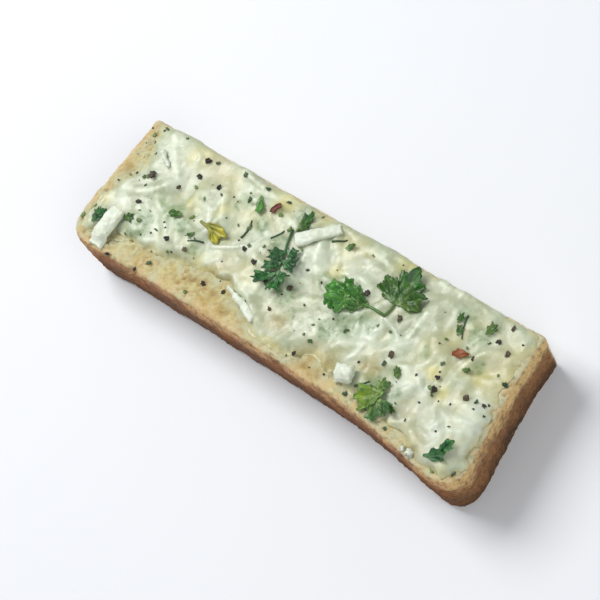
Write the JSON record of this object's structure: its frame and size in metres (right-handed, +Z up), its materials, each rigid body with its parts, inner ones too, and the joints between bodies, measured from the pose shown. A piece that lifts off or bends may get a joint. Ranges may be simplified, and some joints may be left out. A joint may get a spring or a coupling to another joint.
{
  "type": "cheese garlic bread finger",
  "caption": "Toasted finger of sandwich bread with crust on one side and both ends, baked under a melted cheese layer with parsley, cheese shreds, pepper and chilli.",
  "frame": {"origin": "middle of the bounding box, at the flat underside the finger rests on", "axes": "+X along the finger, +Y towards the knife cut, -Y towards the baked crust side, +Z up through the cheese"},
  "size_m": [0.1158, 0.0358, 0.02],
  "materials": {
    "bread": "toasted bread, brown crust and golden crumb",
    "cheese": "soft melted cheese with pepper, herb and chilli specks",
    "shred": "white unmelted cheese",
    "parsley": "fresh green leaf",
    "yellow_leaf": "wilted yellow leaf"
  },
  "bodies": {
    "root": {"bread": "bread", "cheese": "cheese", "cheese_shred_1": "shred", "cheese_shred_2": "shred", "cheese_shred_3": "shred", "cheese_shred_4": "shred", "cheese_cube": "shred", "parsley_1": "parsley", "parsley_2": "parsley", "parsley_3": "parsley", "parsley_4": "parsley", "parsley_5": "parsley", "parsley_6": "parsley", "parsley_7": "parsley", "parsley_8": "parsley", "yellow_leaf": "yellow_leaf"}
  },
  "joints": []
}
